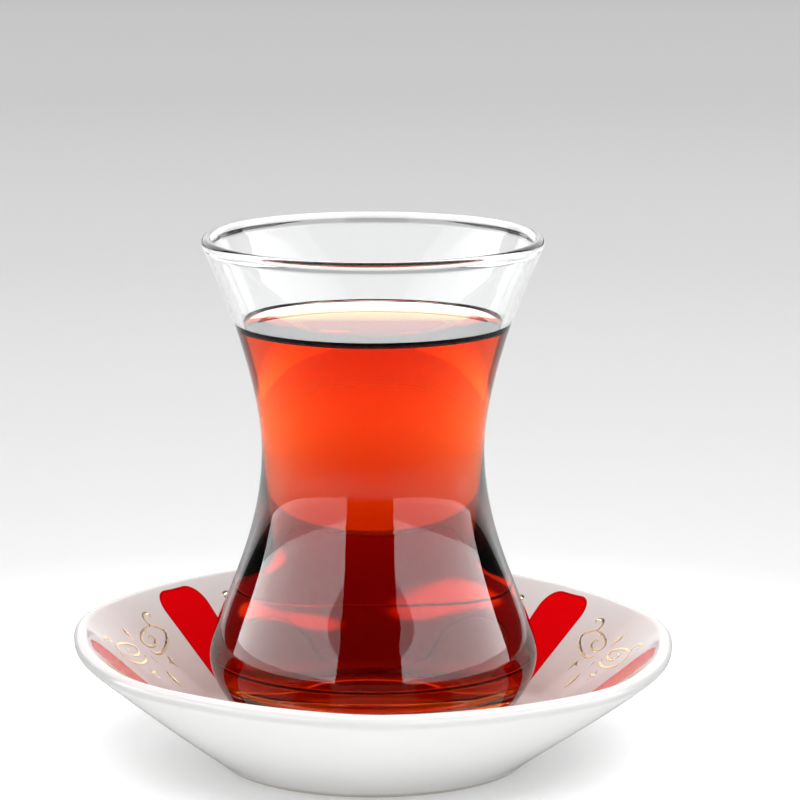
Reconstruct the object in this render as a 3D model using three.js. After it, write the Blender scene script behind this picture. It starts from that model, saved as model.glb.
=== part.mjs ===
// A waisted glass of black tea on a small porcelain saucer.
// Millimetres, +Z up. The origin is on the table, on the axis that the glass and the saucer share.
import * as THREE from 'three';

// Saucer: driving dimensions
const FOOT_HOLLOW_RADIUS = 23.4;
const FOOT_INNER_RADIUS = 24.6;
const FOOT_OUTER_RADIUS = 26.4;
const FOOT_HOLLOW_DEPTH = 1.6;
const WALL_START = [27.4, 0.9];
const LIP_CENTRE = [50.3, 20.1];
const LIP_RADIUS = 1.4;
const WALL_BOW = 0.35;
const SAUCER_FLOOR = 5.2;
const FLOOR_RADIUS = 24.0;
const WALL_FOOT_RADIUS = 33.0;
const LOBES = 7;
const LOBE_DEPTH = 0.5;
const LOBE_SHARPNESS = 0.2;
const RIM_SKEW = [-0.8, 0.6];
const SAUCER_SEGMENTS = 84;

// Glass: driving dimensions
const CONTACT_GAP = 0.3;
const GLASS_FOOT = SAUCER_FLOOR + CONTACT_GAP;
const FOOT_RING = [14.5, 18.0];
const FOOT_DOME = 0.7;
const BASE_EDGE = [19.4, GLASS_FOOT + 0.35];
const BULB = [28.2, 18.2];
const WAIST = [19.05, 54.2];
const RIM_OUTSIDE = [29.05, 89.6];
const RIM_SLOPE = 25.4;
const RIM_BEAD_RADIUS = 0.95;
const WALL = 1.5;
const INNER_BOTTOM = 11.2;
const GLASS_SEGMENTS = 56;

// Tea: driving dimensions
const TEA_LEVEL = 75.6;
const MENISCUS_RISE = 1.15;
const MENISCUS_REACH = 2.6;

const COLOURS = {
  glass: { color: 0xf2f6f5, roughness: 0.03, metalness: 0, transparent: true, opacity: 0.35 },
  tea: { color: 0xc41a08, roughness: 0.05, metalness: 0 },
  porcelain: { color: 0xf1f0ef, roughness: 0.12, metalness: 0 },
};

const radians = THREE.MathUtils.degToRad;
const at = (radius, height) => new THREE.Vector2(radius, height);

// Points along a cubic curve from a to b, with a handle at each end.
function bend(a, handleA, handleB, b, steps) {
  return new THREE.CubicBezierCurve(a, handleA, handleB, b).getPoints(steps);
}

// Points on an arc, by its centre, radius and two angles in degrees from the outward direction.
function arc(centre, radius, from, to, steps) {
  const points = [];
  for (let i = 0; i <= steps; i += 1) {
    const angle = radians(from + ((to - from) * i) / steps);
    points.push(at(centre.x + radius * Math.cos(angle), centre.y + radius * Math.sin(angle)));
  }
  return points;
}

// The same outline moved sideways by a distance, to the left of its direction of travel.
function offset(points, distance) {
  return points.map((point, i) => {
    const before = points[Math.max(i - 1, 0)];
    const after = points[Math.min(i + 1, points.length - 1)];
    const along = after.clone().sub(before).normalize();
    return at(point.x - along.y * distance, point.y + along.x * distance);
  });
}

// Joins outlines end to end and drops points that repeat.
function chain(...outlines) {
  const joined = outlines.flat();
  return joined.filter((point, i) => i === 0 || point.distanceTo(joined[i - 1]) > 0.02);
}

// A closed body turned about +Z from an outline that starts and ends on the axis.
function turned(outline, segments) {
  return new THREE.LatheGeometry(outline, segments).rotateX(Math.PI / 2);
}

function piece(name, geometry, finish) {
  const mesh = new THREE.Mesh(geometry, new THREE.MeshStandardMaterial(finish));
  mesh.name = name;
  return mesh;
}

// Outside of the glass, from the base edge over the bulb and the waist to the rim.
const rimEnd = at(...RIM_OUTSIDE);
const rimDirection = at(Math.sin(radians(RIM_SLOPE)), Math.cos(radians(RIM_SLOPE)));
const bulb = at(...BULB);
const waist = at(...WAIST);
const bulbUnder = bend(at(...BASE_EDGE), at(22.6, 6.9), at(bulb.x, bulb.y - 5), bulb, 6);
const bulbOver = bend(bulb, at(bulb.x, bulb.y + 7.1), at(waist.x, waist.y - 17.2), waist, 10);
const flare = bend(
  waist,
  at(waist.x, waist.y + 11),
  rimEnd.clone().addScaledVector(rimDirection, -8.77),
  rimEnd,
  8,
);

// Inside of the glass, from the middle of the thick base up to just under the rim.
const innerFloor = bend(
  at(0, INNER_BOTTOM),
  at(17, INNER_BOTTOM),
  at(bulb.x - WALL, bulb.y - 5.2),
  at(bulb.x - WALL, bulb.y),
  7,
);
const innerWall = chain(innerFloor, offset(chain(bulbOver, flare), WALL));

// The glass: shallow dome under the base, foot ring, outside, rounded rim, inside.
function glassOutline() {
  const beadCentre = rimEnd.clone().add(at(-rimDirection.y, rimDirection.x).multiplyScalar(RIM_BEAD_RADIUS));
  const bead = arc(beadCentre, RIM_BEAD_RADIUS, -RIM_SLOPE, 180 - RIM_SLOPE + 20, 6);
  const base = [at(0, GLASS_FOOT + FOOT_DOME), at(FOOT_RING[0], GLASS_FOOT), at(FOOT_RING[1], GLASS_FOOT)];
  const inside = innerWall.filter((point) => point.y < bead.at(-1).y - 0.8).reverse();
  return chain(base, bulbUnder, bulbOver, flare, bead, inside);
}

// The tea: fills the inside with a fine gap, and its top edge climbs the wall a little.
function teaOutline() {
  const wet = offset(innerWall, CONTACT_GAP);
  const edgeHeight = TEA_LEVEL + MENISCUS_RISE;
  const above = wet.findIndex((point) => point.y > edgeHeight);
  const share = (edgeHeight - wet[above - 1].y) / (wet[above].y - wet[above - 1].y);
  const edge = wet[above - 1].clone().lerp(wet[above], share);
  const meniscus = [0, 0.25, 0.55, 1].map((s) =>
    at(edge.x - MENISCUS_REACH * s, TEA_LEVEL + MENISCUS_RISE * (1 - s) ** 3),
  );
  const side = wet.slice(1, above).filter((point) => point.y < edgeHeight - 0.8);
  return chain([at(0, wet[0].y)], side, meniscus, [at(0, TEA_LEVEL)]);
}

// The saucer: foot ring, straight flaring wall, rounded lip, and a flat floor inside.
function saucerOutline() {
  const start = at(...WALL_START);
  const lip = at(...LIP_CENTRE);
  const slope = THREE.MathUtils.radToDeg(Math.atan2(lip.y - start.y, lip.x - start.x));
  const rounded = arc(lip, LIP_RADIUS, slope - 90, slope + 90, 7);
  const middle = start.clone().lerp(rounded[0], 0.5).add(at(WALL_BOW, -WALL_BOW));
  const outside = new THREE.QuadraticBezierCurve(start, middle, rounded[0]).getPoints(4);
  const inner = rounded.at(-1);
  const steepness = Math.tan(radians(slope));
  const wallFoot = at(WALL_FOOT_RADIUS, inner.y - (inner.x - WALL_FOOT_RADIUS) * steepness);
  const corner = at(WALL_FOOT_RADIUS - (wallFoot.y - SAUCER_FLOOR) / steepness, SAUCER_FLOOR);
  const cove = new THREE.QuadraticBezierCurve(wallFoot, corner, at(FLOOR_RADIUS, SAUCER_FLOOR));
  const foot = [
    at(0, FOOT_HOLLOW_DEPTH),
    at(FOOT_HOLLOW_RADIUS, FOOT_HOLLOW_DEPTH),
    at(FOOT_INNER_RADIUS, 0),
    at(FOOT_OUTER_RADIUS, 0),
  ];
  const wall = [0.33, 0.67].map((s) => inner.clone().lerp(wallFoot, s));
  return chain(foot, outside, rounded, wall, cove.getPoints(4), [at(0, SAUCER_FLOOR)]);
}

// Pushes the wall and the lip out and in, round the saucer, into soft lobes. The rim also lies
// a little askew, as fired porcelain does: its left side and its back stand slightly higher.
function lobed(geometry) {
  const position = geometry.getAttribute('position');
  for (let i = 0; i < position.count; i += 1) {
    const x = position.getX(i);
    const y = position.getY(i);
    const radius = Math.hypot(x, y);
    const turn = LOBES * Math.atan2(x, -y);
    const wave = Math.cos(turn) + LOBE_SHARPNESS * Math.cos(2 * turn);
    const reach = THREE.MathUtils.smoothstep(radius, FOOT_OUTER_RADIUS, LIP_CENTRE[0]);
    const scale = radius > 0 ? 1 + (LOBE_DEPTH * wave * reach) / radius : 1;
    const lift = (reach * (RIM_SKEW[0] * x + RIM_SKEW[1] * y)) / LIP_CENTRE[0];
    position.setXYZ(i, x * scale, y * scale, position.getZ(i) + lift);
  }
  return geometry;
}

const saucer = piece('saucer', lobed(turned(saucerOutline(), SAUCER_SEGMENTS)), COLOURS.porcelain);
const glass = piece('tea_glass', turned(glassOutline(), GLASS_SEGMENTS), COLOURS.glass);
const tea = piece('tea', turned(teaOutline(), GLASS_SEGMENTS), COLOURS.tea);

const group = new THREE.Group();
group.add(saucer, glass, tea);

export default group;
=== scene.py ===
# %% [markdown]
# # A waisted glass of tea on its saucer
#
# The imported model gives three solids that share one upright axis: a clear glass, the tea in it and
# a porcelain saucer. This lesson dresses them. Everything here is turned about that axis, so most
# of the work is in the outlines, in the way light is bent by glass and tea, and in the ornament on
# the porcelain.

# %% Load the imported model
import math

import bpy
import numpy as np
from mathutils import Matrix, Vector


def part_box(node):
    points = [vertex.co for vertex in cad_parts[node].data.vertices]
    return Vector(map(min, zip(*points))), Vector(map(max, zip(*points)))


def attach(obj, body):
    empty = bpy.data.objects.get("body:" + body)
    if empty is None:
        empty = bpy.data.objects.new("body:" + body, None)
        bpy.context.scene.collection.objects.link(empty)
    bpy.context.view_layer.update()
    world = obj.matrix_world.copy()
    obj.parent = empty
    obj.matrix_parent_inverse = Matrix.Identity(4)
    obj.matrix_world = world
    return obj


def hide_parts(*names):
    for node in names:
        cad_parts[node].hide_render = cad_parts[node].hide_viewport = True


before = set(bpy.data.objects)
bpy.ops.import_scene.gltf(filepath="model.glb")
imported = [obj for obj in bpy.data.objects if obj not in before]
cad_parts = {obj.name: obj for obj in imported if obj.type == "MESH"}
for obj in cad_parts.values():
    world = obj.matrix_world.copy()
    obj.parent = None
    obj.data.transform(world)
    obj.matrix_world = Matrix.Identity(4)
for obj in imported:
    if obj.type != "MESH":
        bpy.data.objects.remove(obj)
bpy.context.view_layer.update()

print("solids:", sorted(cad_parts))

# %% [markdown]
# ## Where the pieces stand
#
# Each piece takes its place from its solid's box: the glass stands a hair above the saucer's floor,
# and the tea's level is a millimetre under its solid's highest edge. Lengths are in metres, and
# MM keeps the small ones readable. An outline is a list of points (radius, height) on one side of
# the axis.

# %% Read the heights from the frame
MM = 0.001
MENISCUS_RISE = 1.15 * MM
glass_low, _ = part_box("tea_glass")
_, tea_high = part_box("tea")

GLASS_FOOT = glass_low[2]
TEA_LEVEL = tea_high[2] - MENISCUS_RISE
print("glass stands at", round(GLASS_FOOT / MM, 2), "mm, tea level", round(TEA_LEVEL / MM, 2), "mm")

# %% [markdown]
# ## The camera
#
# The photograph was taken with a long lens from a little above the rim. The distance and the
# height follow from how open the ellipses of the rim, the tea's surface and the saucer look. The
# glass stands a little left of the middle of the picture, so the camera is turned to the right by
# a third of a degree. Depth of field stays off.

# %% Place the camera
CAMERA_DISTANCE = 710.8 * MM
CAMERA_HEIGHT = 200.4 * MM
CAMERA_PITCH = math.radians(10.97)
CAMERA_YAW = math.radians(0.371)
CAMERA_LENS = 190.9

camera_data = bpy.data.cameras.new("camera")
camera_data.lens = CAMERA_LENS
camera_data.clip_start = 0.02
camera_data.clip_end = 60.0
camera = bpy.data.objects.new("camera", camera_data)
camera.location = (0.0, -CAMERA_DISTANCE, CAMERA_HEIGHT)
camera.rotation_euler = (math.pi / 2 - CAMERA_PITCH, 0.0, -CAMERA_YAW)
bpy.context.scene.collection.objects.link(camera)
bpy.context.scene.camera = camera
bpy.context.scene.view_settings.view_transform = "Standard"
print("camera", round(CAMERA_DISTANCE, 3), "m away and", round(CAMERA_HEIGHT, 3), "m up")

# %% [markdown]
# ## Helpers for outlines
#
# A glass profile could be traced with dozens of points, but it is really four smooth bends: under
# the bulb, over the bulb, up the flare, and the bowl inside. Each bend is one cubic curve with a
# handle at either end, so a few numbers give the whole shape and any number of points can be
# taken from it.

# %% Curves and offsets
SAME_POINT = 1e-6


def at(radius, height):
    """One point of an outline, given in millimetres."""
    return np.array((radius, height)) * MM


def bend(a, handle_a, handle_b, b, steps):
    """A cubic curve from a to b, with a handle for each.

    Its points mix a, a's handle, b's handle and b by (1-t)^3, 3t(1-t)^2, 3t^2(1-t) and t^3.
    """
    t = np.linspace(0.0, 1.0, steps + 1)[:, None]
    s = 1.0 - t
    return s**3 * a + 3 * s**2 * t * handle_a + 3 * s * t**2 * handle_b + t**3 * b


def arc(centre, radius, start, end, steps):
    """Points on a circle, from one angle to another, in degrees from the outward direction."""
    angle = np.radians(np.linspace(start, end, steps + 1))
    return centre + radius * np.stack((np.cos(angle), np.sin(angle)), axis=1)


def moved(outline, distance):
    """The outline moved to the left of its travel: each point goes square to its tangent."""
    along = np.gradient(outline, axis=0)
    along /= np.linalg.norm(along, axis=1, keepdims=True)
    return outline + distance * np.stack((-along[:, 1], along[:, 0]), axis=1)


def chain(*outlines):
    """Outlines joined end to end, without points that repeat the one before."""
    joined = np.concatenate([np.atleast_2d(outline) for outline in outlines])
    step = np.linalg.norm(np.diff(joined, axis=0), axis=1)
    return joined[np.concatenate(([True], step > SAME_POINT))]


print("helpers for outlines:", at.__name__, bend.__name__, arc.__name__, moved.__name__, chain.__name__)

# %% [markdown]
# ## Helpers for meshes
#
# Blender's Spin or Screw could turn an outline, but working the vertices out as one array keeps
# the poles closed and tells which strip of faces comes from which part of the outline. That is
# useful here, because a strip can then have a material of its own.

# %% Turn an outline into a closed mesh
def new_object(name, vertices, faces, materials, face_slots=None):
    """A smooth mesh object at the origin from arrays of vertices and faces."""
    mesh = bpy.data.meshes.new(name)
    mesh.from_pydata(vertices.tolist(), [], faces)
    for material in materials:
        mesh.materials.append(material)
    if face_slots is not None:
        mesh.polygons.foreach_set("material_index", np.asarray(face_slots, dtype=np.int32))
    mesh.polygons.foreach_set("use_smooth", np.ones(len(faces), dtype=bool))
    mesh.update()
    piece = bpy.data.objects.new(name, mesh)
    bpy.context.scene.collection.objects.link(piece)
    return piece


def turned_points(outline, segments):
    """Rings of points: x = r sin(angle), y = -r cos(angle), z = height. Angle 0 is in front."""
    angle = np.arange(segments) * (2 * np.pi / segments)
    radius, height = outline[:, :1], outline[:, 1:]
    x, y = radius * np.sin(angle), -radius * np.cos(angle)
    return np.stack((x, y, np.broadcast_to(height, x.shape)), axis=2)


def turned(name, outline, segments, materials, strip_slots=None, shape=None):
    """A closed body turned about the axis, from an outline whose two ends lie there as poles."""
    rings = turned_points(outline[1:-1], segments)
    count = len(rings)
    poles = np.array(((0.0, 0.0, outline[0, 1]), (0.0, 0.0, outline[-1, 1])))
    vertices = np.concatenate((rings.reshape(-1, 3), poles))
    if shape is not None:
        vertices = shape(vertices)
    here = np.arange(segments)
    after = (here + 1) % segments
    low = (np.arange(count - 1) * segments)[:, None]
    high = low + segments
    quads = np.stack((low + here, low + after, high + after, high + here), axis=2)
    top = (count - 1) * segments
    bottom_cap = np.stack((np.full(segments, count * segments), after, here), axis=1)
    top_cap = np.stack((top + here, top + after, np.full(segments, count * segments + 1)), axis=1)
    faces = bottom_cap.tolist() + quads.reshape(-1, 4).tolist() + top_cap.tolist()
    slots = None if strip_slots is None else np.repeat(strip_slots, segments)
    return new_object(name, vertices, faces, materials, slots)


print("helpers for meshes:", new_object.__name__, turned_points.__name__, turned.__name__)

# %% [markdown]
# ## Helpers for materials
#
# Every finish starts from one Principled BSDF. A small helper makes it and sets its plain values,
# and the node work of each finish is added in its own cell.

# %% Start a material
def new_material(name, **values):
    """A material with one Principled BSDF, whose sockets take the given plain values."""
    material = bpy.data.materials.new(name)
    material.use_nodes = True
    shader = material.node_tree.nodes["Principled BSDF"]
    for socket, value in values.items():
        shader.inputs[socket.replace("_", " ")].default_value = value
    return material, material.node_tree, shader


def node(tree, kind, inputs=(), **settings):
    """A node with its settings, and its inputs filled from a dictionary of values or sockets."""
    made = tree.nodes.new(kind)
    for key, value in settings.items():
        setattr(made, key, value)
    for key, value in dict(inputs).items():
        if isinstance(value, bpy.types.NodeSocket):
            tree.links.new(value, made.inputs[key])
        else:
            made.inputs[key].default_value = value
    return made


def maths(tree, operation, *values):
    """A Math node on one to three values or sockets, which returns its output socket."""
    return node(tree, "ShaderNodeMath", dict(enumerate(values)), operation=operation).outputs[0]


def ranged(tree, value, low, high, to_low=0.0, to_high=1.0):
    """A Map Range node: how far the value is from low to high, as a place in the second range."""
    inputs = {"Value": value, "From Min": low, "From Max": high, "To Min": to_low, "To Max": to_high}
    return node(tree, "ShaderNodeMapRange", inputs).outputs["Result"]


def mixed(tree, share, first, second):
    """A Mix node for colours: the first where the share is 0, and the second where it is 1."""
    inputs = {"Factor": share, "A": first, "B": second}
    return node(tree, "ShaderNodeMix", inputs, data_type="RGBA").outputs["Result"]


def group(name, inputs, outputs):
    """A shader node group with float, vector or colour sockets, and its input and output nodes."""
    tree = bpy.data.node_groups.new(name, "ShaderNodeTree")
    for label, kind, value in inputs:
        socket = tree.interface.new_socket(label, in_out="INPUT", socket_type=kind)
        if value is not None:
            socket.default_value = value
    for label, kind in outputs:
        tree.interface.new_socket(label, in_out="OUTPUT", socket_type=kind)
    return tree, tree.nodes.new("NodeGroupInput").outputs, tree.nodes.new("NodeGroupOutput").inputs


def object_point(tree):
    """The point being shaded, in the piece's own coordinates."""
    return tree.nodes.new("ShaderNodeTexCoord").outputs["Object"]


print("helpers for materials:", new_material.__name__, node.__name__, maths.__name__, group.__name__)

# %% [markdown]
# ## A shared effect: soft unevenness
#
# Blown glass, a glaze and a liquid's surface are never perfectly even. One node group makes a
# slow noise, and gives it as a value and as a bumped normal. Each material uses it at its own
# size and depth.

# %% Unevenness group
uneven, uneven_in, uneven_out = group(
    "unevenness",
    [
        ("Point", "NodeSocketVector", None),
        ("Size", "NodeSocketFloat", 100.0),
        ("Depth", "NodeSocketFloat", 0.1 * MM),
    ],
    [("Value", "NodeSocketFloat"), ("Normal", "NodeSocketVector")],
)
uneven_noise = node(
    uneven,
    "ShaderNodeTexNoise",
    {"Vector": uneven_in["Point"], "Scale": uneven_in["Size"], "Detail": 2.0, "Roughness": 0.45},
)
uneven_bump = node(
    uneven, "ShaderNodeBump", {"Height": uneven_noise.outputs["Fac"], "Distance": uneven_in["Depth"]}
)
uneven.links.new(uneven_noise.outputs["Fac"], uneven_out["Value"])
uneven.links.new(uneven_bump.outputs["Normal"], uneven_out["Normal"])


def unevenness(tree, size, depth):
    """Places the group in a material, on Object coordinates, with its own size and depth."""
    values = {"Point": object_point(tree), "Size": size, "Depth": depth}
    return node(tree, "ShaderNodeGroup", values, node_tree=uneven)


print("group made:", uneven.name)

# %% [markdown]
# ## Clear glass
#
# Soda-lime glass bends light by 1.5 and has hardly any colour. Where the tea wets the inside of
# the wall there is no air, so nothing shines back there: a second material with no reflection at
# a square look stands on that part of the wall. The wall keeps a very faint waviness from blowing.

# %% Glass materials
GLASS_IOR = 1.5


def glass_material(name, shine):
    """Clear glass, whose shine is the share of its square-on reflection that is kept."""
    material, tree, shader = new_material(
        name,
        Base_Color=(0.985, 0.99, 0.99, 1.0),
        Roughness=0.0,
        IOR=GLASS_IOR,
        Transmission_Weight=1.0,
        Specular_Tint=(shine, shine, shine, 1.0),
    )
    waves = unevenness(tree, size=45.0, depth=0.06 * MM)
    tree.links.new(waves.outputs["Normal"], shader.inputs["Normal"])
    return material


clear_glass = glass_material("clear_glass", shine=0.2)
filled_glass = glass_material("filled_glass", shine=0.35)
wet_glass = glass_material("wet_glass", shine=0.0)
print("glass materials:", clear_glass.name, filled_glass.name, wet_glass.name)

# %% [markdown]
# ## The glass
#
# The outline starts under the thick base, goes over the bulb and the waist, rolls over the
# fire-polished rim, and comes back down the inside at the thickness of the wall. The inside
# bottom is a bowl of its own, because such glasses are thick at the base.

# %% Outline of the glass
BULB = at(28.2, 18.2)
WAIST = at(19.05, 54.2)
RIM_OUTSIDE = at(29.05, 89.6)
RIM_SLOPE = 25.4
RIM_BEAD_RADIUS = 0.95 * MM
RIM_BEAD_TURN = 200.0
FOOT_POINTS = (at(0.0, 0.7), at(14.5, 0.0), at(18.0, 0.0))
BASE_EDGE = at(19.4, 0.35)
BASE_HANDLE = at(22.6, 6.9)
BELOW_BULB = at(0.0, 5.0)
ABOVE_BULB = at(0.0, 7.1)
BELOW_WAIST = at(0.0, 17.2)
ABOVE_WAIST = at(0.0, 11.0)
RIM_REACH = 8.77 * MM

foot = np.array(FOOT_POINTS) + (0.0, GLASS_FOOT)
base_edge = BASE_EDGE + (0.0, GLASS_FOOT)
under_bulb = bend(base_edge, BASE_HANDLE, BULB - BELOW_BULB, BULB, steps=30)
over_bulb = bend(BULB, BULB + ABOVE_BULB, WAIST - BELOW_WAIST, WAIST, steps=60)
rim_angle = math.radians(RIM_SLOPE)
rim_direction = np.array((math.sin(rim_angle), math.cos(rim_angle)))
flare_handle = RIM_OUTSIDE - RIM_REACH * rim_direction
flare = bend(WAIST, WAIST + ABOVE_WAIST, flare_handle, RIM_OUTSIDE, steps=50)

bead_centre = RIM_OUTSIDE + RIM_BEAD_RADIUS * np.array((-rim_direction[1], rim_direction[0]))
bead = arc(bead_centre, RIM_BEAD_RADIUS, -RIM_SLOPE, RIM_BEAD_TURN - RIM_SLOPE, steps=18)
print("outside of the glass:", len(under_bulb) + len(over_bulb) + len(flare) + len(bead), "points")

# %% Outline of its inside
WALL = 1.5 * MM
INNER_BOTTOM = at(0.0, 11.2)
BOWL_HANDLE = at(17.0, 11.2)
BOWL_SIDE = at(0.0, 5.2)
BELOW_BEAD = 0.5 * MM

bulb_inside = BULB - (WALL, 0.0)
inner_bowl = bend(INNER_BOTTOM, BOWL_HANDLE, bulb_inside - BOWL_SIDE, bulb_inside, steps=36)
inner_wall = chain(inner_bowl, moved(chain(over_bulb, flare), WALL))
inside = inner_wall[inner_wall[:, 1] < bead[-1, 1] - BELOW_BEAD][::-1]
glass_outline = chain(foot, under_bulb, over_bulb, flare, bead, inside)
print("glass outline:", len(glass_outline), "points")

# %% [markdown]
# ## Three finishes on one glass
#
# The empty part of the glass, the part with tea behind it and the wet inside differ only in how
# much they shine, so they are one body with three materials. Each strip between two points of the
# outline knows its height and whether it is inside, and takes its material by that.

# %% Turn the glass
GLASS_SEGMENTS = 192
WET_ABOVE_LEVEL = 0.5 * MM

inside_start = len(glass_outline) - len(inside)
strip = np.arange(len(glass_outline) - 1)
strip_height = (glass_outline[:-1, 1] + glass_outline[1:, 1]) / 2
below_tea = strip_height < TEA_LEVEL + WET_ABOVE_LEVEL
glass_slots = np.where(below_tea, np.where(strip >= inside_start, 2, 1), 0)
glass_finishes = [clear_glass, filled_glass, wet_glass]
glass = turned("glass_body", glass_outline, GLASS_SEGMENTS, glass_finishes, glass_slots)
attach(glass, "root")
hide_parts("tea_glass")
print("glass:", len(glass.data.polygons), "faces")

# %% [markdown]
# ## Black tea
#
# Tea is clear but deeply coloured: it takes blue first, then green, and lets red through. That is
# what a Volume Absorption node does, so the colour deepens with the thickness, from orange at the
# edges to dark red in the bulb. The surface has almost invisible ripples.

# %% Tea material
TEA_IOR = 1.333
TEA_CLEARS = (0.886, 0.54, 0.0, 1.0)
TEA_DENSITY = 250.0

tea_material, tea_tree, tea_shader = new_material(
    "black_tea",
    Base_Color=(1.0, 1.0, 1.0, 1.0),
    Roughness=0.0,
    IOR=TEA_IOR,
    Transmission_Weight=1.0,
    Specular_Tint=(0.0, 0.0, 0.0, 1.0),
)
absorption = node(tea_tree, "ShaderNodeVolumeAbsorption", {"Color": TEA_CLEARS, "Density": TEA_DENSITY})
tea_tree.links.new(absorption.outputs["Volume"], tea_tree.nodes["Material Output"].inputs["Volume"])
ripples = unevenness(tea_tree, size=60.0, depth=0.04 * MM)
tea_tree.links.new(ripples.outputs["Normal"], tea_shader.inputs["Normal"])
print("tea material:", tea_material.name)

# %% [markdown]
# ## The tea
#
# A liquid that stops at the wall leaves a film of air in a render, and the wall then looks
# silvered. So the tea reaches a fifth of a millimetre into the glass. Its edge creeps up the
# wall: the height falls off with the cube of the distance from the glass.

# %% Turn the tea
INTO_WALL = 0.2 * MM
MENISCUS_REACH = 2.6 * MM
SURFACE_RINGS = 11

wet_side = moved(inner_wall, -INTO_WALL)
edge_height = TEA_LEVEL + MENISCUS_RISE
edge_radius = np.interp(edge_height, wet_side[:, 1], wet_side[:, 0])
share = np.linspace(0.0, 1.0, 17)
meniscus_height = TEA_LEVEL + MENISCUS_RISE * (1 - share) ** 3
meniscus = np.stack((edge_radius - MENISCUS_REACH * share, meniscus_height), axis=1)
surface_radius = np.linspace(meniscus[-1, 0], 0.0, SURFACE_RINGS + 1)[1:]
surface = np.stack((surface_radius, np.full(SURFACE_RINGS, TEA_LEVEL)), axis=1)
side = wet_side[(wet_side[:, 1] < edge_height - 0.3 * MM) & (wet_side[:, 0] > 0.05 * MM)]
tea_outline = chain((0.0, wet_side[0, 1]), side, meniscus, surface)
tea = turned("tea_fill", tea_outline, GLASS_SEGMENTS, [tea_material])
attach(tea, "root")
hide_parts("tea")
print("tea:", len(tea.data.polygons), "faces")

# %% [markdown]
# ## A shared effect: petals round a dish
#
# The inside of the saucer has red petals between the gold ornaments. They could be painted on an
# image, but a formula stays sharp at any size. The angle round the dish is folded into one
# sector, which gives two lengths, across and outwards. A petal is a box with round corners in
# these: the distance past its straight part, less the corner's radius, is below zero inside.
# The pattern is a transfer laid by hand, and it sits a little towards the back: every angle is
# pushed back by five degrees times its sine.

# %% Petal group
SECTORS = 7
PATTERN_SHIFT = math.radians(5.0)

petals, petals_in, petals_out = group(
    "petals",
    [
        ("Point", "NodeSocketVector", None),
        ("Inner End", "NodeSocketFloat", 0.0),
        ("Outer End", "NodeSocketFloat", 0.0),
        ("Inner Half Width", "NodeSocketFloat", 0.0),
        ("Outer Half Width", "NodeSocketFloat", 0.0),
        ("Corner", "NodeSocketFloat", 0.0),
    ],
    [("Distance", "NodeSocketFloat"), ("Outwards", "NodeSocketFloat")],
)


def petal_nodes(tree, inputs, outputs):
    """Folds the angle into a sector and measures the distance to a tapering box with round corners."""
    axes = node(tree, "ShaderNodeSeparateXYZ", {"Vector": inputs["Point"]}).outputs
    backwards = maths(tree, "MULTIPLY", axes["Y"], -1.0)
    seen = maths(tree, "ARCTAN2", axes["X"], backwards)
    angle = maths(tree, "MULTIPLY_ADD", maths(tree, "SINE", seen), -PATTERN_SHIFT, seen)
    sector = 2 * math.pi / SECTORS
    turns = maths(tree, "MULTIPLY", angle, 1 / sector)
    folded = maths(tree, "SUBTRACT", maths(tree, "FRACT", turns), 0.5)
    local = maths(tree, "MULTIPLY", folded, sector)
    across_square = maths(tree, "MULTIPLY", axes["X"], axes["X"])
    radius = maths(tree, "SQRT", maths(tree, "MULTIPLY_ADD", axes["Y"], axes["Y"], across_square))
    across = maths(tree, "ABSOLUTE", maths(tree, "MULTIPLY", radius, maths(tree, "SINE", local)))
    outwards = maths(tree, "MULTIPLY", radius, maths(tree, "COSINE", local))
    inner_end, outer_end, corner = inputs["Inner End"], inputs["Outer End"], inputs["Corner"]
    half_widths = inputs["Inner Half Width"], inputs["Outer Half Width"]
    width = ranged(tree, outwards, inner_end, outer_end, *half_widths)
    past_side = maths(tree, "ADD", maths(tree, "SUBTRACT", across, width), corner)
    past_outer = maths(tree, "ADD", maths(tree, "SUBTRACT", outwards, outer_end), corner)
    past_inner = maths(tree, "ADD", maths(tree, "SUBTRACT", inner_end, outwards), corner)
    past_end = maths(tree, "MAXIMUM", maths(tree, "MAXIMUM", past_outer, past_inner), 0.0)
    beside = maths(tree, "MAXIMUM", past_side, 0.0)
    square = maths(tree, "MULTIPLY_ADD", beside, beside, maths(tree, "MULTIPLY", past_end, past_end))
    distance = maths(tree, "SUBTRACT", maths(tree, "SQRT", square), corner)
    tree.links.new(distance, outputs["Distance"])
    tree.links.new(outwards, outputs["Outwards"])


petal_nodes(petals, petals_in, petals_out)
print("group made:", petals.name, "with", SECTORS, "sectors")

# %% [markdown]
# ## Porcelain glaze
#
# White porcelain under a clear glaze is smooth and bright, with slow changes in thickness that
# show as a faint change of gloss. The ring that it stands on is left bare in the kiln, so it is
# matte and a little greyer: the height above the table tells where.

# %% Glaze materials
PORCELAIN = (0.79, 0.785, 0.78, 1.0)
BARE_PORCELAIN = (0.62, 0.59, 0.55, 1.0)
GLAZE_STARTS = (0.9 * MM, 0.5 * MM)
GLAZE_ROUGHNESS = (0.05, 0.11)


def glaze_material(name):
    """Glazed porcelain whose roughness changes slowly over the surface."""
    material, tree, shader = new_material(
        name, Base_Color=PORCELAIN, Roughness=0.12, IOR=1.5, Specular_IOR_Level=0.12
    )
    waves = unevenness(tree, size=38.0, depth=0.12 * MM)
    gloss = ranged(tree, waves.outputs["Value"], 0.3, 0.7, *GLAZE_ROUGHNESS)
    tree.links.new(waves.outputs["Normal"], shader.inputs["Normal"])
    return material, tree, shader, gloss


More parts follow.
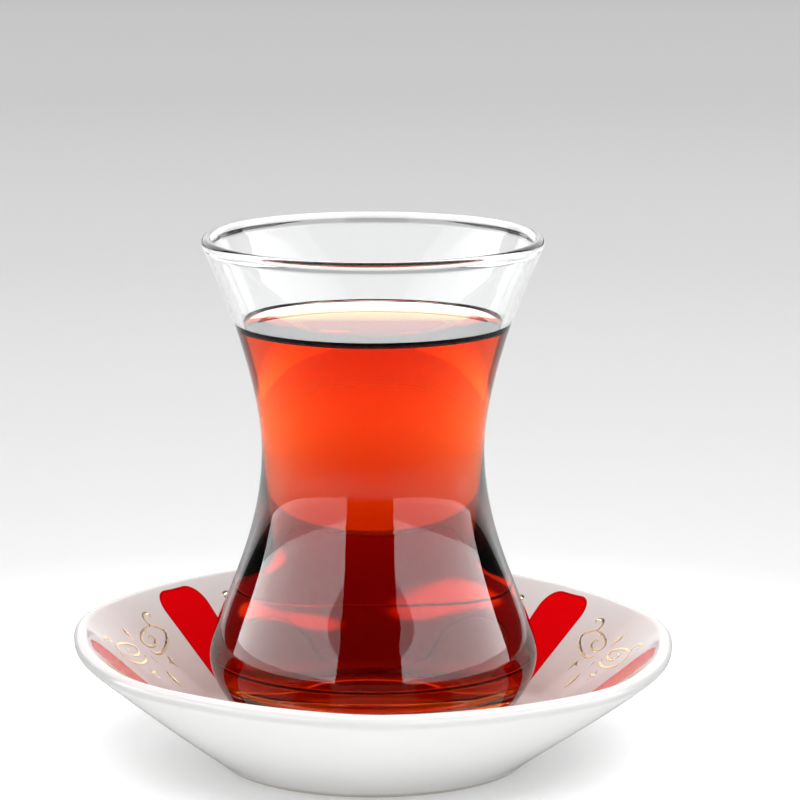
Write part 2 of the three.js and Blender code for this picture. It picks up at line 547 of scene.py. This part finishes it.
outer_glaze, outer_tree, outer_shader, outer_gloss = glaze_material("porcelain_outside")
height = node(outer_tree, "ShaderNodeSeparateXYZ", {"Vector": object_point(outer_tree)}).outputs["Z"]
bare = ranged(outer_tree, height, *GLAZE_STARTS)
outer_colour = mixed(outer_tree, bare, PORCELAIN, BARE_PORCELAIN)
outer_tree.links.new(outer_colour, outer_shader.inputs["Base Color"])
outer_tree.links.new(maths(outer_tree, "MAXIMUM", outer_gloss, bare), outer_shader.inputs["Roughness"])
print("glaze outside:", outer_glaze.name)

# %% [markdown]
# ## Petals in the glaze
#
# The petals are an even, deep red with a slightly darker line along their edges. The distance from
# the group above makes both masks: it is nought on a petal's outline and below nought inside.
# The white round them has a painted warm cast and turns pink towards the glass: painted red light
# from the tea and the petals near it.

# %% Glaze with petals inside
# Painted light: the inner white is warmed, and turns pinker towards the glass, by red light from the
# tea.
WARM_LIT_PORCELAIN = (0.94, 0.89, 0.875, 1.0)
PINK_LIT_PORCELAIN = (0.86, 0.62, 0.585, 1.0)
PETAL_RED = (0.95, 0.0, 0.003, 1.0)
PETAL_EDGE_RED = (0.62, 0.0, 0.002, 1.0)
PETAL_SHAPE = {
    "Inner End": 27.0 * MM,
    "Outer End": 48.6 * MM,
    "Inner Half Width": 4.3 * MM,
    "Outer Half Width": 6.0 * MM,
    "Corner": 3.6 * MM,
}
PETAL_STARTS = (0.06 * MM, -0.06 * MM)
PETAL_EDGE_STARTS = (-0.5 * MM, -0.1 * MM)
RED_LIGHT_STARTS = (49.0 * MM, 31.0 * MM)

inner_glaze, inner_tree, inner_shader, inner_gloss = glaze_material("porcelain_inside")
placed_petals = node(
    inner_tree, "ShaderNodeGroup", {"Point": object_point(inner_tree), **PETAL_SHAPE}, node_tree=petals
).outputs
petal_mask = ranged(inner_tree, placed_petals["Distance"], *PETAL_STARTS)
edge_mask = ranged(inner_tree, placed_petals["Distance"], *PETAL_EDGE_STARTS)
red_light_share = ranged(inner_tree, placed_petals["Outwards"], *RED_LIGHT_STARTS)
red_lit_white = mixed(inner_tree, red_light_share, WARM_LIT_PORCELAIN, PINK_LIT_PORCELAIN)
petal_red = mixed(inner_tree, edge_mask, PETAL_RED, PETAL_EDGE_RED)
inner_colour = mixed(inner_tree, petal_mask, red_lit_white, petal_red)
inner_tree.links.new(inner_colour, inner_shader.inputs["Base Color"])
inner_tree.links.new(inner_gloss, inner_shader.inputs["Roughness"])
print("glaze inside:", inner_glaze.name)

# %% [markdown]
# ## The saucer
#
# A foot ring, a straight wall that flares out, a rounded lip, and a flat floor inside. A straight
# line, two curves with one handle each and half a circle draw all of it.

# %% Outline of the saucer
FOOT = [at(0.0, 1.6), at(23.4, 1.6), at(24.6, 0.0), at(26.4, 0.0)]
WALL_START = at(27.4, 0.9)
LIP_CENTRE = at(50.3, 20.1)
LIP_RADIUS = 1.4 * MM
WALL_BOW = 0.35 * MM
CONTACT_GAP = 0.3 * MM
SAUCER_FLOOR = GLASS_FOOT - CONTACT_GAP
FLOOR_RADIUS = 24.0 * MM
FLOOR_RINGS = 8
WALL_FOOT_RADIUS = 33.0 * MM

steepness = (LIP_CENTRE[1] - WALL_START[1]) / (LIP_CENTRE[0] - WALL_START[0])
slope = math.degrees(math.atan(steepness))
lip = arc(LIP_CENTRE, LIP_RADIUS, slope - 90, slope + 90, steps=20)
middle = (WALL_START + lip[0]) / 2 + np.array((WALL_BOW, -WALL_BOW))


def quadratic(a, handle, b, steps):
    """A curve with one handle, written as a cubic whose two handles lie two thirds of the way to it."""
    return bend(a, (a + 2 * handle) / 3, (b + 2 * handle) / 3, b, steps)


wall_foot_height = lip[-1, 1] - (lip[-1, 0] - WALL_FOOT_RADIUS) * steepness
wall_foot = np.array((WALL_FOOT_RADIUS, wall_foot_height))
corner = np.array((WALL_FOOT_RADIUS - (wall_foot_height - SAUCER_FLOOR) / steepness, SAUCER_FLOOR))
cove = quadratic(wall_foot, corner, np.array((FLOOR_RADIUS, SAUCER_FLOOR)), steps=20)
inner_line = np.linspace(lip[-1], wall_foot, 24)
floor_radius = np.linspace(FLOOR_RADIUS, 0.0, FLOOR_RINGS)
floor_line = np.stack((floor_radius, np.full(FLOOR_RINGS, SAUCER_FLOOR)), axis=1)
outer_line = quadratic(WALL_START, middle, lip[0], steps=20)
saucer_outline = chain(FOOT, outer_line, lip, inner_line, cove, floor_line)
print("saucer outline:", len(saucer_outline), "points, wall at", round(slope, 1), "degrees")

# %% [markdown]
# ## Lobes and a rim that is a little askew
#
# A pressed saucer keeps the soft lobes of its mould, and firing leaves its rim slightly askew.
# Both are a function of a point's place, so one function moves the turned saucer and, later, the
# gold that lies on it. The wall goes in and out in seven waves, and the rim is lifted a little on
# the left and at the back.

# %% Turn the saucer and give it lobes
LOBE_DEPTH = 0.5 * MM
LOBE_SHARPNESS = 0.2
RIM_SKEW = np.array((-0.8, 0.6)) * MM
SAUCER_SEGMENTS = 48 * SECTORS


def lobed(points):
    """Moves the wall out by the depth times cos(7 turn) and a second wave, and lifts it along the skew.

    Both grow from nothing at the foot to their full size at the lip, by the smooth step 3t^2 - 2t^3.
    """
    x, y, z = points.T
    radius = np.hypot(x, y)
    turn = SECTORS * np.arctan2(x, -y)
    wave = np.cos(turn) + LOBE_SHARPNESS * np.cos(2 * turn)
    foot_radius = FOOT[-1][0]
    t = np.clip((radius - foot_radius) / (LIP_CENTRE[0] - foot_radius), 0.0, 1.0)
    reach = t * t * (3 - 2 * t)
    scale = 1 + LOBE_DEPTH * wave * reach / np.maximum(radius, MM)
    lift = reach * (RIM_SKEW[0] * x + RIM_SKEW[1] * y) / LIP_CENTRE[0]
    return np.stack((x * scale, y * scale, z + lift), axis=1)


# The inner glaze starts at the middle of the lip. Its index is counted back from the outline's end:
# chain() dropped three points that two lines share, and an index is one less than a count.
lip_top = len(saucer_outline) - len(inner_line) - len(cove) - len(floor_line) - len(lip) // 2 + 2
inside_strips = (np.arange(len(saucer_outline) - 1) >= lip_top).astype(int)
saucer = turned(
    "saucer_body", saucer_outline, SAUCER_SEGMENTS, [outer_glaze, inner_glaze], inside_strips, lobed
)
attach(saucer, "root")
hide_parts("saucer")
print("saucer:", len(saucer.data.polygons), "faces")

# %% [markdown]
# ## Gold ornament
#
# Gold is painted on the glaze and fired again, so it stands up by a few hundredths of a
# millimetre. Each stroke is a thin ribbon that follows the wall: a centre line in two lengths,
# across and outwards, a width that changes along it, and a low rounded section. Scrolls, stars
# and leaves are all such strokes. The metal itself is warm and worn in fine patches.

# %% Gold material
GOLD_WORN = (0.80, 0.52, 0.30, 1.0)
GOLD_BRIGHT = (0.98, 0.78, 0.55, 1.0)
GOLD_ROUGHNESS = (0.22, 0.42)

gold, gold_tree, gold_shader = new_material("fired_gold", Base_Color=GOLD_BRIGHT, Metallic=1.0)
gold_wear = unevenness(gold_tree, size=900.0, depth=0.02 * MM)
gold_colour = mixed(gold_tree, gold_wear.outputs["Value"], GOLD_WORN, GOLD_BRIGHT)
gold_gloss = ranged(gold_tree, gold_wear.outputs["Value"], 0.3, 0.7, *GOLD_ROUGHNESS)
gold_tree.links.new(gold_colour, gold_shader.inputs["Base Color"])
gold_tree.links.new(gold_gloss, gold_shader.inputs["Roughness"])
gold_tree.links.new(gold_wear.outputs["Normal"], gold_shader.inputs["Normal"])
print("gold material:", gold.name)

# %% [markdown]
# ## Strokes of one ornament
#
# A painter sets a scroll down by a few points and a steady hand. Here the points are the same few,
# and a smooth line runs through them. One half is drawn, and the other is its mirror image. How
# the width changes from end to end makes a stroke a scroll, a star's ray or a leaf.

# %% Lines and widths
def smooth_line(points, steps):
    """A line through given points, by Catmull-Rom cubics.

    Each handle lies a sixth of the way along the line that joins the point's two neighbours.
    """
    p = np.array(points, dtype=float)
    p = np.concatenate((2 * p[:1] - p[1:2], p, 2 * p[-1:] - p[-2:-1]))
    reach = (p[2:] - p[:-2]) / 6
    stretches = zip(p[1:-2], reach[:-1], reach[1:], p[2:-1])
    return chain(*[bend(a, a + reach_a, b - reach_b, b, steps) for a, reach_a, reach_b, b in stretches])


def even(share):
    """Full width along the stroke, with both ends rounded off."""
    return np.minimum(1.0, 6.0 * np.minimum(share, 1 - share) + 0.25)


def pointed(share):
    """Widest in the middle and pointed at both ends, with hollow sides."""
    return (1 - np.abs(2 * share - 1)) ** 1.6 + 0.02


def leaf(share):
    """Pointed at both ends with full sides, as half a sine wave."""
    return np.sin(np.pi * share) + 0.02


def ray(centre, reach):
    """Points of a straight stroke, from its centre less half the reach to its centre plus half of it."""
    share = np.linspace(-0.5, 0.5, 13)[:, None]
    return (np.array(centre) + share * np.array(reach)) * MM


def star(centre, length, breadth):
    """Two crossed pointed strokes, one outwards and one across, each 0.4 as wide as it is long."""
    outwards = (ray(centre, (0.0, length)), RAY_WIDTH * length * MM, pointed)
    across = (ray(centre, (breadth, 0.0)), RAY_WIDTH * breadth * MM, pointed)
    return [outwards, across]


print("kinds of stroke:", even.__name__, pointed.__name__, leaf.__name__)

# %% Strokes of one ornament
STROKE_WIDTH = 0.55 * MM
LEAF_WIDTH = 1.1 * MM
RAY_WIDTH = 0.4
STEM = [(9.3, 3.7), (9.9, 4.3), (9.0, 4.8), (7.7, 4.4), (7.4, 3.3), (8.4, 2.4), (9.3, 1.6), (9.1, 0.7)]
SWEEP = [(7.6, 0.0), (5.6, -0.5), (3.6, -0.6), (2.0, -0.3), (1.4, 0.3)]
CURL = [(7.5, 3.0), (5.6, 3.2), (3.2, 2.8), (1.7, 2.0), (2.0, 1.1), (3.6, 0.7)]
CURL_END = [(5.2, 1.1), (5.2, 1.9), (4.1, 2.0)]

ORNAMENT = []
for mirror in (1.0, -1.0):
    flip = np.array((mirror, 1.0)) * MM
    ORNAMENT += [
        (smooth_line(STEM + SWEEP, steps=8) * flip, STROKE_WIDTH, even),
        (smooth_line(CURL + CURL_END, steps=8) * flip, STROKE_WIDTH, even),
        *star((4.1 * mirror, -2.4), 2.4, 2.6),
    ]
ORNAMENT += [
    *star((0.0, 3.9), 3.0, 1.6),
    *star((0.0, -0.9), 1.3, 1.0),
    (ray((0.0, -4.5), (0.0, 2.8)), LEAF_WIDTH, leaf),
]
print("strokes in one ornament:", len(ORNAMENT))

# %% [markdown]
# ## Gold on the wall
#
# A flat stroke has to lie on a wall that slopes and curves. Shrinkwrap could press it on, but the
# wall is known as a profile, so its height and slope at any radius can be read off that. The
# ribbon's low edge goes a twentieth of a millimetre into the glaze, so no gap shows under it.

# %% Ribbons on the wall
GOLD_MIDDLE = 41.0 * MM
STROKE_HEIGHT = 0.05 * MM
STROKE_DEPTH = 0.05 * MM
SECTION_ACROSS = np.array((-1.0, -0.9, -0.45, 0.0, 0.45, 0.9, 1.0))
SECTION_HEIGHT = np.array((-1.0, 0.5, 0.95, 1.0, 0.95, 0.5, -1.0))
inner_profile = saucer_outline[lip_top:][::-1]


def on_wall(across, outwards, lift, turn):
    """A point on the inner wall: turned to its sector, raised to the wall, and lifted square to it."""
    x = across * math.cos(turn) + outwards * math.sin(turn)
    y = across * math.sin(turn) - outwards * math.cos(turn)
    radius = np.hypot(x, y)
    z = np.interp(radius, inner_profile[:, 0], inner_profile[:, 1])
    rise = np.interp(radius, inner_profile[:, 0], np.gradient(inner_profile[:, 1], inner_profile[:, 0]))
    tilt = np.arctan(rise)
    shift = 1 - lift * np.sin(tilt) / radius
    return np.stack((x * shift, y * shift, z + lift * np.cos(tilt)), axis=-1)


def ribbon(line, width, profile, turn):
    """A closed ribbon along a line: the section is scaled by the width there, and laid on the wall."""
    along = np.gradient(line, axis=0)
    along /= np.linalg.norm(along, axis=1, keepdims=True)
    sideways = np.stack((along[:, 1], -along[:, 0]), axis=1)
    half = width / 2 * profile(np.linspace(0.0, 1.0, len(line)))
    flat = line[:, None, :] + sideways[:, None, :] * (half[:, None] * SECTION_ACROSS)[:, :, None]
    lift = np.where(SECTION_HEIGHT > 0, STROKE_HEIGHT * SECTION_HEIGHT, -STROKE_DEPTH)
    lift = np.broadcast_to(lift, flat.shape[:2])
    points = on_wall(flat[:, :, 0], GOLD_MIDDLE + flat[:, :, 1], lift, turn).reshape(-1, 3)
    rows, columns = flat.shape[:2]
    index = np.arange(rows * columns).reshape(rows, columns)
    beside = np.roll(index, -1, axis=1)
    quads = np.stack((index[:-1], beside[:-1], beside[1:], index[1:]), axis=-1)
    ends = [index[0, ::-1].tolist(), index[-1].tolist()]
    return points, ends + quads.reshape(-1, 4).tolist()


print("section of a ribbon:", len(SECTION_ACROSS), "points")

# %% Lay the strokes round the saucer
gold_points, gold_faces, used = [], [], 0
for sector in range(SECTORS):
    even_turn = sector * 2 * math.pi / SECTORS
    turn = even_turn + PATTERN_SHIFT * math.sin(even_turn)
    for line, width, profile in ORNAMENT:
        points, faces = ribbon(line, width, profile, turn)
        gold_points.append(points)
        gold_faces += [[index + used for index in face] for face in faces]
        used += len(points)
gold_ornament = new_object("gold_ornament", lobed(np.concatenate(gold_points)), gold_faces, [gold])
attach(gold_ornament, "root")
print("gold ornament:", len(gold_faces), "faces")

# %% [markdown]
# ## Brightness seen through the tea
#
# Tea only glows when something bright is seen through it, so a drink is photographed with white
# cards round it, out of sight behind the glass. Here the table and the studio are their own
# cards: they are brighter for light that has crossed glass, tea and glass again, which Light Path
# tells from the number of surfaces it has gone through. How bright they are goes by a ramp. A
# ramp holds no more than one, so its greys are made a third and the outcome is made three times
# as bright.

# %% Helpers for brightness
SURFACES_PAST_TEA = 4.5
CARD_SCALE = 3.0


def crossed(tree, surfaces):
    """One for light that came straight through more than this many clear surfaces, else nought."""
    path = tree.nodes.new("ShaderNodeLightPath").outputs
    through = maths(tree, "GREATER_THAN", path["Transmission Depth"], surfaces)
    straight = maths(tree, "LESS_THAN", path["Diffuse Depth"], 0.5)
    return maths(tree, "MULTIPLY", through, straight)


def graded(tree, value, reach, stops, scale=1.0):
    """A Color Ramp over value, from nought to reach, with greys at given places, over the scale."""
    ramp = node(tree, "ShaderNodeValToRGB", {"Fac": ranged(tree, value, 0.0, reach)})
    elements = ramp.color_ramp.elements
    while len(elements) < len(stops):
        elements.new(0.5)
    for element, (place, grey) in zip(elements, stops):
        element.position = place / reach
        element.color = (grey / scale, grey / scale, grey / scale, 1.0)
    return ramp.outputs["Color"]


print("light counts as past the tea after", math.ceil(SURFACES_PAST_TEA), "clear surfaces")

# %% [markdown]
# ## Pools of light behind the glass
#
# A glass full of tea is a strong lens. It gathers light from each side into a small bright pool
# on the saucer behind it, and the bulb shows these pools as glowing red patches. Tracing such
# pools takes very many samples, so the glaze glows there instead, only for light that has
# crossed the tea.

# %% Pools on the glaze
POOLS = (
    {"centre": (2.7, 39.4), "reach": (2.3, 2.6), "strength": 2.0},
    {"centre": (-3.4, 36.8), "reach": (1.9, 1.9), "strength": 1.8},
)
POOL_CORE = 0.45


def pool(tree, centre, reach, strength):
    """A soft oval spot: full within its core, and gone where the distance over its reach is 1."""
    shifted = node(
        tree,
        "ShaderNodeVectorMath",
        {0: object_point(tree), 1: (centre[0] * MM, centre[1] * MM, 0.0)},
        operation="SUBTRACT",
    )
    scaled = node(
        tree,
        "ShaderNodeVectorMath",
        {0: shifted.outputs["Vector"], 1: (1 / (reach[0] * MM), 1 / (reach[1] * MM), 0.0)},
        operation="MULTIPLY",
    )
    distance = node(tree, "ShaderNodeVectorMath", {0: scaled.outputs["Vector"]}, operation="LENGTH")
    return node(
        tree,
        "ShaderNodeMapRange",
        {"Value": distance.outputs["Value"], "From Min": 1.0, "From Max": POOL_CORE, "To Max": strength},
        interpolation_type="SMOOTHSTEP",
    ).outputs["Result"]


pool_glow = maths(inner_tree, "ADD", *[pool(inner_tree, **values) for values in POOLS])
pool_seen = maths(inner_tree, "MULTIPLY", pool_glow, crossed(inner_tree, SURFACES_PAST_TEA))
inner_tree.links.new(pool_seen, inner_shader.inputs["Emission Color"])
inner_shader.inputs["Emission Strength"].default_value = 1.0
print("pools of light:", len(POOLS))

# %% [markdown]
# ## The table
#
# The table is white round the saucer and falls off to a pale grey far behind it. So the table is a
# matt white sheet with a glow of its own: painted light, which fades with the distance from the
# saucer and is the same on every side, and which dips close to the saucer's foot as a painted
# contact shadow. Seen through glass it glows a little more, and seen through the tea it is a card,
# with more light the further off it is.
#
# Shiny surfaces see the table painted darker nearby, at 0.4 of its brightness, which dims its
# reflection in the glass: a painted dimming. Far off they see it painted brighter, which draws
# pale painted reflections down both sides of the glass.

# %% Glow of the table
FADE_REACH = 2.2
# Painted light: seen through any glass the table glows brighter by this much.
CLEAR_GLOW = 0.17
# Painted light on the table; the lowest stops, close to the saucer's foot, are a painted contact shadow.
GLOW_WITH_CONTACT_SHADOW = (
    (0.026, 0.26),
    (0.034, 0.32),
    (0.045, 0.54),
    (0.06, 0.60),
    (0.10, 0.50),
    (0.163, 0.27),
    (0.207, 0.23),
    (0.298, 0.19),
    (0.407, 0.17),
    (0.543, 0.14),
    (0.715, 0.15),
    (0.939, 0.15),
    (1.281, 0.22),
)
CARD_GLOW = (
    (0.06, 0.12),
    (0.10, 0.36),
    (0.13, 0.58),
    (0.18, 0.90),
    (0.30, 1.3),
    (0.65, 1.9),
    (2.0, 2.35),
)
# Painted reflection: for reflected rays the table is 0.4 as bright nearby and 2.2 times as bright far
# off.
PAINTED_REFLECTION_STOPS = ((0.0, 0.4), (0.2, 0.4), (0.5, 2.2))
print("glow:", len(GLOW_WITH_CONTACT_SHADOW), "stops seen plainly and", len(CARD_GLOW), "through the tea")

# %% Table material
TABLE_WHITE = (0.60, 0.605, 0.60, 1.0)

table_material, table_tree, table_shader = new_material(
    "table", Base_Color=TABLE_WHITE, Roughness=0.6, Specular_IOR_Level=0.1, Emission_Strength=1.0
)
table_point = object_point(table_tree)
away = node(table_tree, "ShaderNodeVectorMath", {0: table_point}, operation="LENGTH").outputs["Value"]
glow = graded(table_tree, away, FADE_REACH, GLOW_WITH_CONTACT_SHADOW)
past_glass = maths(table_tree, "MULTIPLY_ADD", crossed(table_tree, 0.5), CLEAR_GLOW, glow)
card_glow = graded(table_tree, away, FADE_REACH, CARD_GLOW, CARD_SCALE)
past_tea = maths(table_tree, "MULTIPLY", crossed(table_tree, SURFACES_PAST_TEA), CARD_SCALE)
table_glow = maths(table_tree, "MULTIPLY_ADD", card_glow, past_tea, past_glass)
table_path = table_tree.nodes.new("ShaderNodeLightPath").outputs
# Painted reflection: for shiny surfaces the table's glow and white are scaled by the ramp above.
in_shine = maths(table_tree, "MULTIPLY", table_path["Is Glossy Ray"], table_path["Is Reflection Ray"])
shine = graded(table_tree, away, FADE_REACH, PAINTED_REFLECTION_STOPS, CARD_SCALE)
shine_change = maths(table_tree, "MULTIPLY_ADD", shine, CARD_SCALE, -1.0)
painted_reflection_scale = maths(table_tree, "MULTIPLY_ADD", in_shine, shine_change, 1.0)
seen_glow = maths(table_tree, "MULTIPLY", table_glow, painted_reflection_scale)
white_inputs = {0: TABLE_WHITE[:3], 3: painted_reflection_scale}
seen_white = node(table_tree, "ShaderNodeVectorMath", white_inputs, operation="SCALE").outputs["Vector"]
table_tree.links.new(seen_glow, table_shader.inputs["Emission Color"])
table_tree.links.new(seen_white, table_shader.inputs["Base Color"])
print("table material:", table_material.name)

# %% Table
TABLE_RADIUS = 9.0
TABLE_CORNERS = 96

turns = np.arange(TABLE_CORNERS) * (2 * np.pi / TABLE_CORNERS)
circle = np.stack((np.cos(turns), np.sin(turns), np.zeros(TABLE_CORNERS)), axis=1)
table = new_object("table", TABLE_RADIUS * circle, [list(range(TABLE_CORNERS))], [table_material])
print("table:", TABLE_RADIUS * 2, "m across")

# %% [markdown]
# ## Light
#
# Two tall soft boxes stand at the left and at the right of the camera, with a dark gap between
# them, which gives the two upright panels on the bulb. Each is dimmer at its foot and at its top,
# as cloth in front of a lamp is. A wide light overhead fills the saucer, and a bright sheet behind
# shines on the tea's surface. Each light says what it acts on: matt surfaces, shiny ones, or what
# is seen through glass. None is seen by the camera.

# %% A soft box
def soft_box(name, azimuth, distance, heights, width, radiance, acts_on):
    """An area light that stands between two heights and faces the axis.

    The azimuth is counted from the camera's side towards +X. The power is pi times the radiance
    times the area.
    """
    low, high = heights
    data = bpy.data.lights.new(name, "AREA")
    data.shape = "RECTANGLE"
    data.size, data.size_y = width, high - low
    data.energy = radiance * math.pi * width * (high - low)
    lamp = bpy.data.objects.new(name, data)
    turn = math.radians(azimuth)
    lamp.location = (distance * math.sin(turn), -distance * math.cos(turn), (low + high) / 2)
    lamp.rotation_euler = (math.pi / 2, 0.0, turn)
    lamp.visible_camera = False
    lamp.visible_diffuse = "matt" in acts_on
    lamp.visible_glossy = "shiny" in acts_on
    lamp.visible_transmission = "clear" in acts_on
    bpy.context.scene.collection.objects.link(lamp)
    return lamp


# %% Boxes at both sides and a sheet behind
BOX_DISTANCE = 1.25
BOX_WIDTH = 2.5
SIDES = (("left", -71.0, 2.5), ("right", 65.0, 1.7))
SHINY_ROWS = (("_foot", (0.0, 0.22), 6.0), ("_box", (0.22, 0.80), 12.0), ("_top", (0.80, 0.96), 5.0))
FILL_HEIGHTS = (0.0, 0.87)
SHEET_DISTANCE = 1.8
SHEET_HEIGHTS = (0.17, 1.35)
SHEET_WIDTH = 3.6

for side, azimuth, fill in SIDES:
    for row, heights, radiance in SHINY_ROWS:
        soft_box(side + row, azimuth, BOX_DISTANCE, heights, BOX_WIDTH, radiance, "shiny")
    soft_box(side + "_fill", azimuth, BOX_DISTANCE, FILL_HEIGHTS, BOX_WIDTH, fill, "matt clear")
soft_box("back_sheet", 180.0, SHEET_DISTANCE, SHEET_HEIGHTS, SHEET_WIDTH, 1.75, "shiny clear")

# %% Overhead light
TARGET = Vector((0.0, 0.0, 0.04))
OVERHEAD_PLACE = Vector((0.12, -0.45, 1.40))
OVERHEAD_SIZE = 1.6

overhead = soft_box("overhead", 0.0, 0.0, (0.0, OVERHEAD_SIZE), OVERHEAD_SIZE, 3.9, "matt")
overhead.location = OVERHEAD_PLACE
overhead.rotation_euler = (TARGET - OVERHEAD_PLACE).to_track_quat("-Z", "Y").to_euler()
print("overhead light", round((TARGET - OVERHEAD_PLACE).length, 2), "m away")

# %% [markdown]
# ## The studio round it
#
# The studio is almost dark, so that the gap between the boxes stays deep. Low down, where the
# sheet behind meets the table, it is a bright card for what is seen through the tea.

# %% World
WORLD_GREY = 0.04
WORLD_WHITE = (0.96, 0.98, 0.98, 1.0)
WORLD_CARD = ((0.0, 2.9), (0.08, 2.9), (0.12, 0.6), (1.0, 0.5))

world = bpy.data.worlds.new("studio")
bpy.context.scene.world = world
world.use_nodes = True
world_tree = world.node_tree
background = world_tree.nodes["Background"]
background.inputs["Color"].default_value = WORLD_WHITE
direction = world_tree.nodes.new("ShaderNodeTexCoord").outputs["Generated"]
upwards = node(world_tree, "ShaderNodeSeparateXYZ", {"Vector": direction}).outputs["Z"]
world_card = graded(world_tree, upwards, 1.0, WORLD_CARD, CARD_SCALE)
world_past_tea = maths(world_tree, "MULTIPLY", crossed(world_tree, SURFACES_PAST_TEA), CARD_SCALE)
strength = maths(world_tree, "MULTIPLY_ADD", world_card, world_past_tea, WORLD_GREY)
world_tree.links.new(strength, background.inputs["Strength"])
print("world:", world.name)
